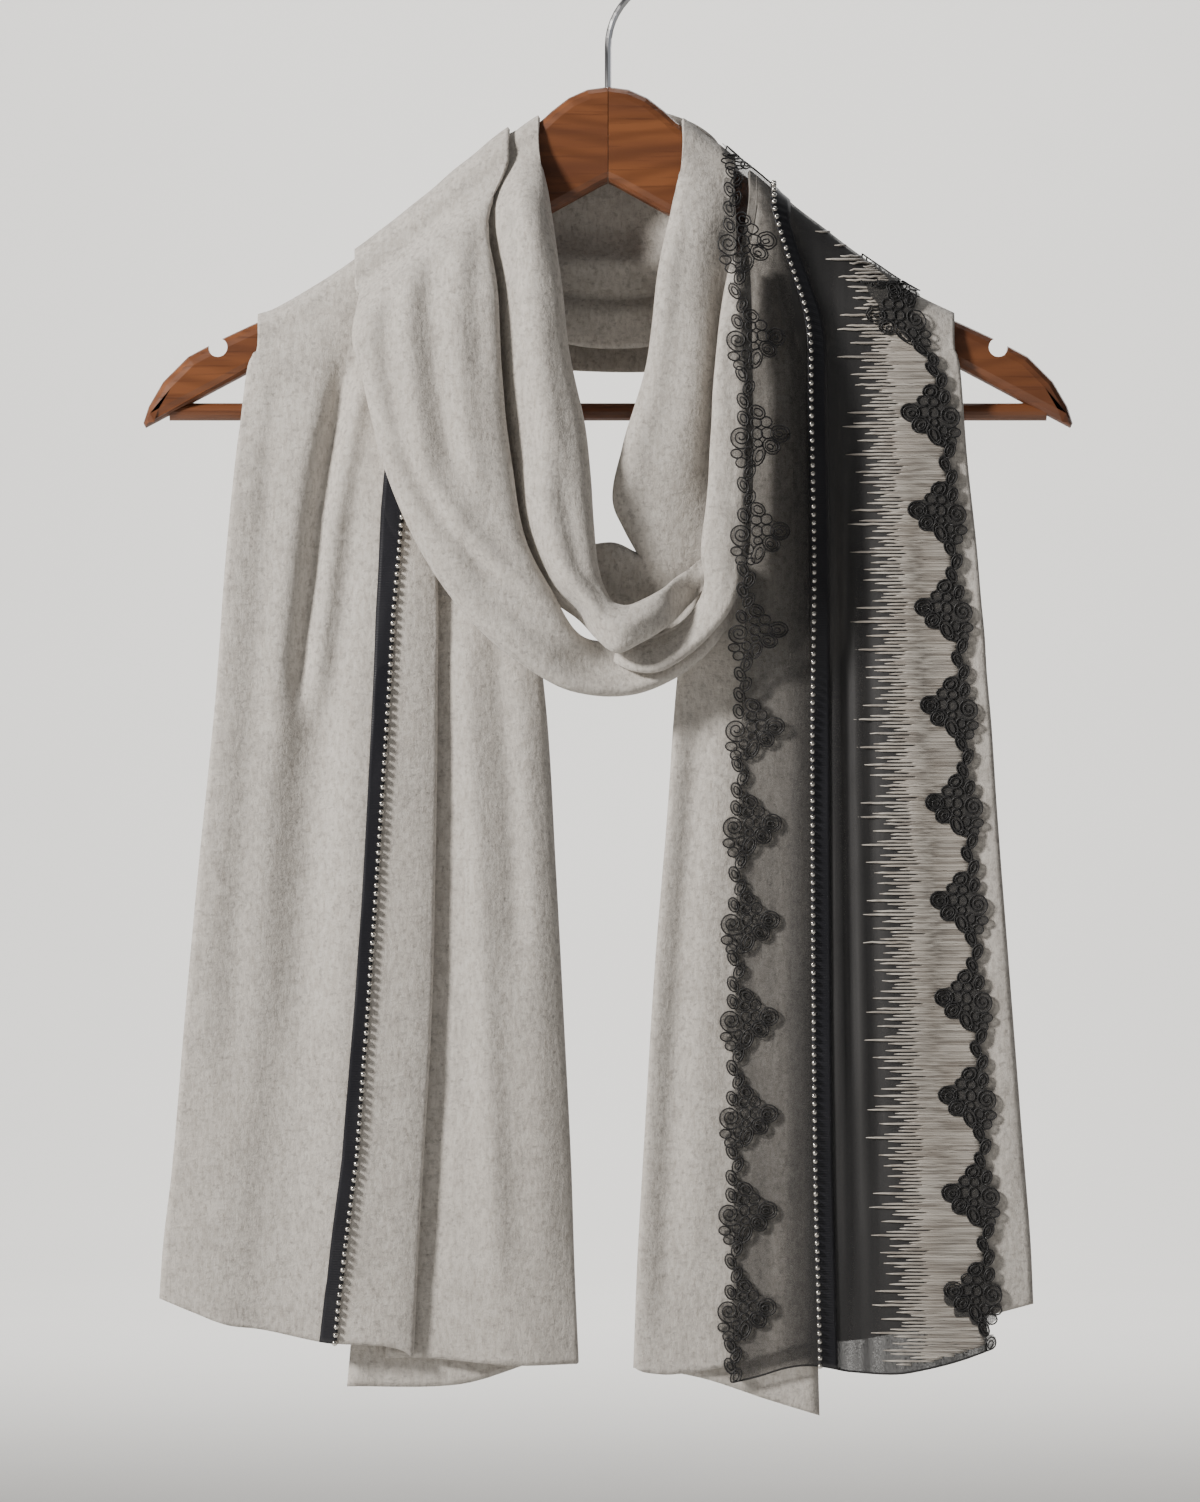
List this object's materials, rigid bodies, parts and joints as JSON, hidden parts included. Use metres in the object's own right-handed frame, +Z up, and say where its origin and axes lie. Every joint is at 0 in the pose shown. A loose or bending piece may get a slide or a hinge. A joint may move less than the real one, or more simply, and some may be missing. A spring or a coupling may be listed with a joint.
{
  "type": "wool scarf on a wooden clothes hanger",
  "caption": "Felted wool scarf looped once over a wooden clothes hanger, with a black sheer and lace overlay on one end and satin ribbons edged with beads.",
  "frame": {"origin": "where the inner top of the hook's curve rests on a rail", "axes": "+Z up, the front with the loop and the overlay faces -Y, +X to the right as seen from the front"},
  "size_m": [0.4492, 0.0838, 0.7212],
  "materials": {
    "wool": "felted, matt",
    "black_sheer": "sheer, see-through in the visual model",
    "black_lace": "corded lace",
    "black_satin": "satin",
    "brown_wood": "satin varnish",
    "chrome_wire": "polished"
  },
  "bodies": {
    "root": {"left_tail": "wool", "right_tail": "wool", "outer_wrap": "wool", "inner_wrap": "wool", "side_strip": "wool", "right_wrap": "wool", "neck_back_outer": "wool", "neck_back_inner": "wool", "sheer_panel": "black_sheer", "lace_left": "black_lace", "lace_right": "black_lace", "ribbon_left": "black_satin", "ribbon_right": "black_satin", "hanger_arm_left": "brown_wood", "hanger_arm_right": "brown_wood", "trouser_bar": "brown_wood", "hook": "chrome_wire"}
  },
  "joints": []
}
